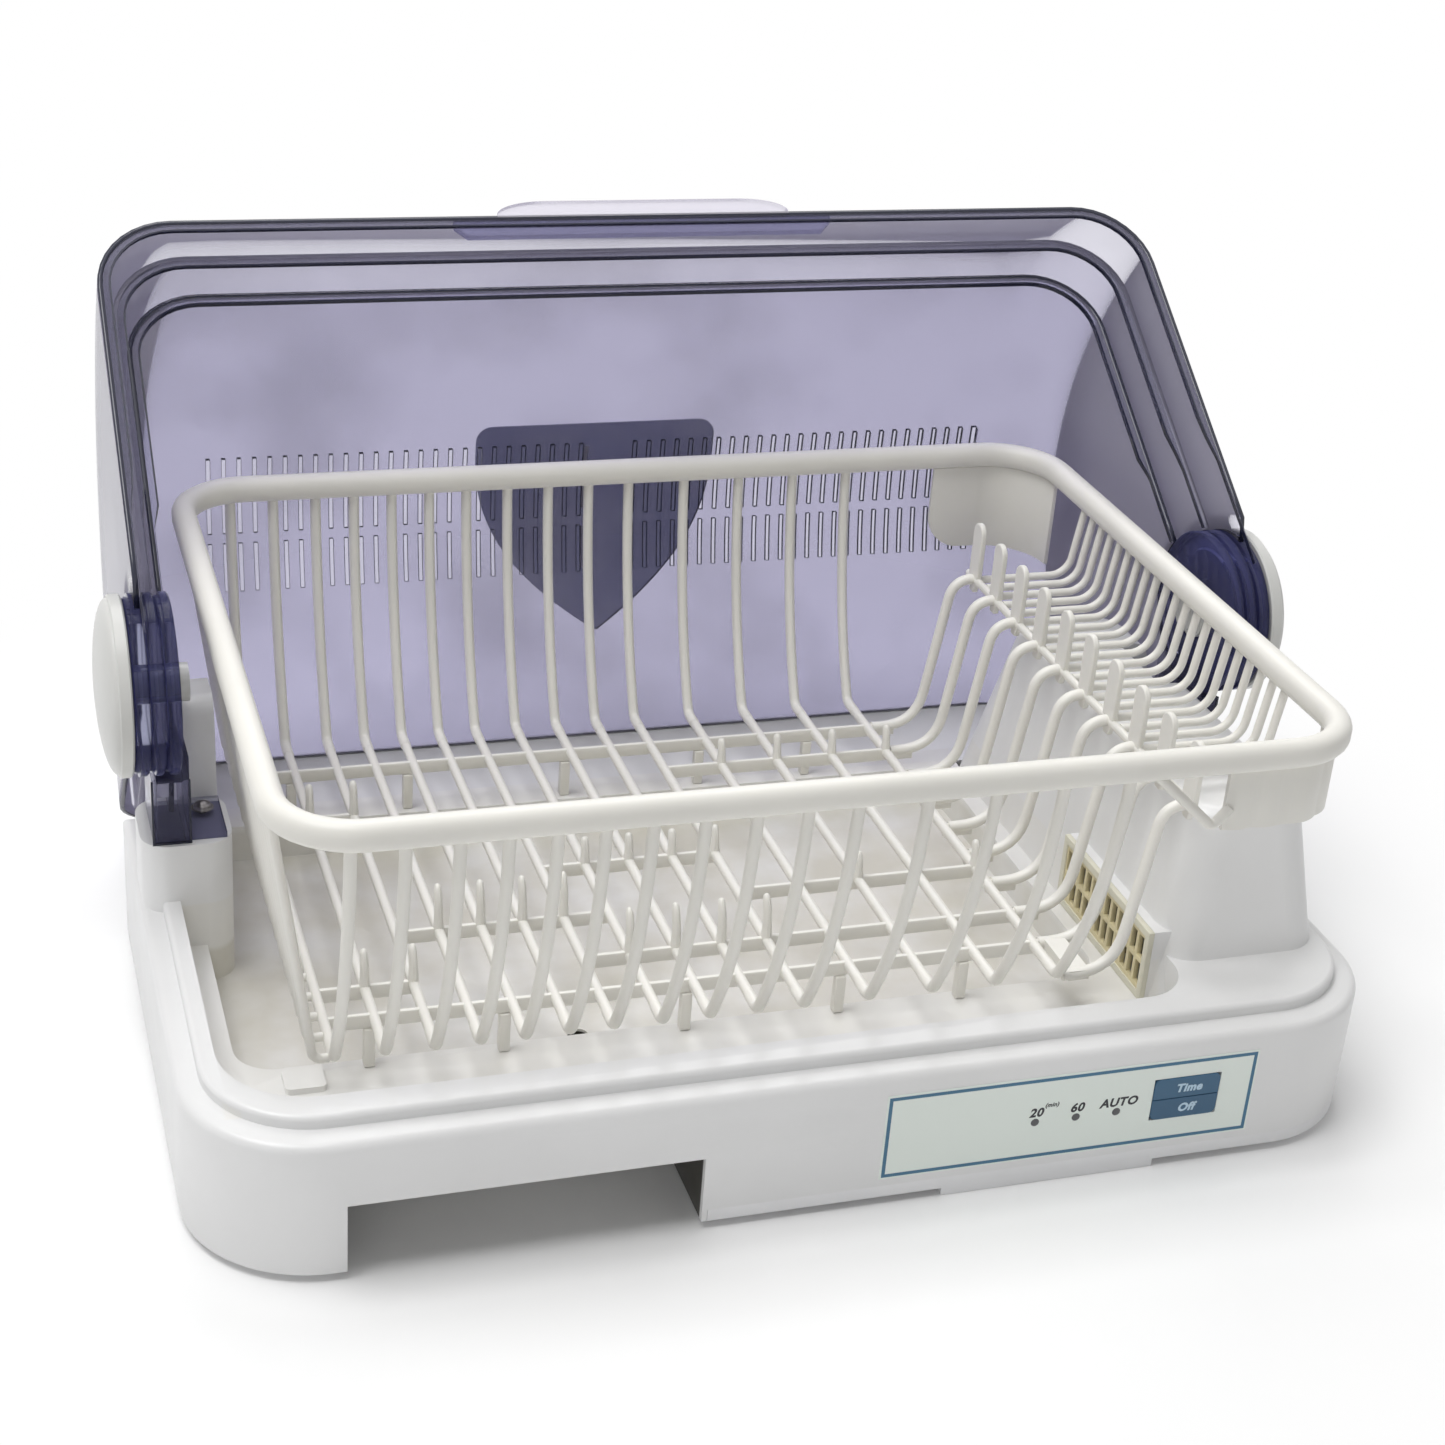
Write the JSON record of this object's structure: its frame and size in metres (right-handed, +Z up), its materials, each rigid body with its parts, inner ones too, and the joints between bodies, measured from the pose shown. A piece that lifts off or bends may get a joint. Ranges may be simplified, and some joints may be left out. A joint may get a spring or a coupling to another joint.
{
  "type": "electric dish dryer",
  "caption": "White electric dish dryer with a lift-out plate basket, a fan tower and nested tinted covers shown open.",
  "frame": {"origin": "On the table, at the middle of the width and of the depth with the covers open.", "axes": "+X to the user's right, +Y to the back, +Z up."},
  "size_m": [0.5912, 0.4499, 0.3544],
  "materials": {
    "white_plastic": "cool white moulded plastic, satin",
    "warm_plastic": "warm off-white moulded plastic",
    "tinted_plastic": "violet-tinted clear moulded plastic",
    "cap_plastic": "ivory moulded plastic",
    "beige_plastic": "heat-proof beige plastic",
    "blue_plastic": "blue key plastic",
    "panel_film": "printed film",
    "clear_lens": "clear light guides",
    "circuit_board": "green circuit board",
    "dark_plastic": "black plastic",
    "dark_rubber": "dark rubber",
    "dark_screw": "dark zinc-plated steel",
    "sheet_metal": "zinc-plated sheet",
    "motor_steel": "laminated steel and cans",
    "mica": "mica board",
    "heater_wire": "resistance wire"
  },
  "bodies": {
    "base": {"base_housing": "white_plastic", "bottom_plate": "white_plastic", "rubber_feet": "dark_rubber", "plate_screws": "dark_screw", "outlet_frame": "white_plastic", "outlet_grille": "beige_plastic", "control_panel": "panel_film", "control_board": "circuit_board", "board_posts": "white_plastic", "board_parts": "dark_plastic", "key_switches": "dark_plastic", "indicator_lenses": "clear_lens", "fan_scroll": "sheet_metal", "fan_motor": "motor_steel", "motor_bracket": "sheet_metal", "heater_frame": "mica", "heater_wires": "heater_wire", "thermostat": "motor_steel", "thermal_fuse": "mica", "flex_gland": "dark_rubber", "rear_cover": "tinted_plastic", "rear_cover_screws": "dark_screw", "hinge_cap_right": "cap_plastic", "hinge_cap_left": "cap_plastic", "hinge_clip_right": "cap_plastic", "hinge_clip_left": "cap_plastic"},
    "basket": {"basket_rail": "warm_plastic", "basket_front_ribs": "warm_plastic", "basket_back_ribs": "warm_plastic", "basket_left_ribs": "warm_plastic", "basket_floor": "warm_plastic", "plate_prongs": "warm_plastic", "basket_pegs": "warm_plastic", "cup_shelf_ribs": "warm_plastic", "cup_shelf_edge": "warm_plastic", "cup_shelf_stays": "warm_plastic", "front_corner_panel": "warm_plastic", "back_corner_panel": "warm_plastic"},
    "middle_cover_body": {"middle_cover": "tinted_plastic"},
    "front_cover_body": {"front_cover": "tinted_plastic", "cover_grip": "tinted_plastic"},
    "impeller": {"fan_impeller": "dark_plastic"},
    "time_key_body": {"time_key": "blue_plastic"},
    "off_key_body": {"off_key": "blue_plastic"}
  },
  "joints": [
    {"name": "front_cover_hinge", "type": "hinge", "parent": "base", "child": "front_cover_body", "pos_m": [0, -0.0115, 0.181], "axis": [1, 0, 0], "range_deg": [0, 161.8]},
    {"name": "middle_cover_hinge", "type": "hinge", "parent": "base", "child": "middle_cover_body", "pos_m": [0, -0.0115, 0.181], "axis": [1, 0, 0], "range_deg": [0, 80.9]},
    {"name": "basket_lift", "type": "slide", "parent": "base", "child": "basket", "axis": [0, -0.2425, 0.9701], "range_m": [0, 0.43]},
    {"name": "fan_spin", "type": "hinge", "parent": "base", "child": "impeller", "pos_m": [0.219, 0.0225, 0.076], "axis": [1, 0, 0], "continuous": true},
    {"name": "time_key_press", "type": "slide", "parent": "base", "child": "time_key_body", "axis": [0, 1, 0], "range_m": [0, 0.0006], "stiffness_N_per_m": 800},
    {"name": "off_key_press", "type": "slide", "parent": "base", "child": "off_key_body", "axis": [0, 1, 0], "range_m": [0, 0.0006], "stiffness_N_per_m": 800}
  ],
  "couplings": [
    {"joint": "middle_cover_hinge", "follows": "front_cover_hinge", "ratio": 0.5}
  ]
}
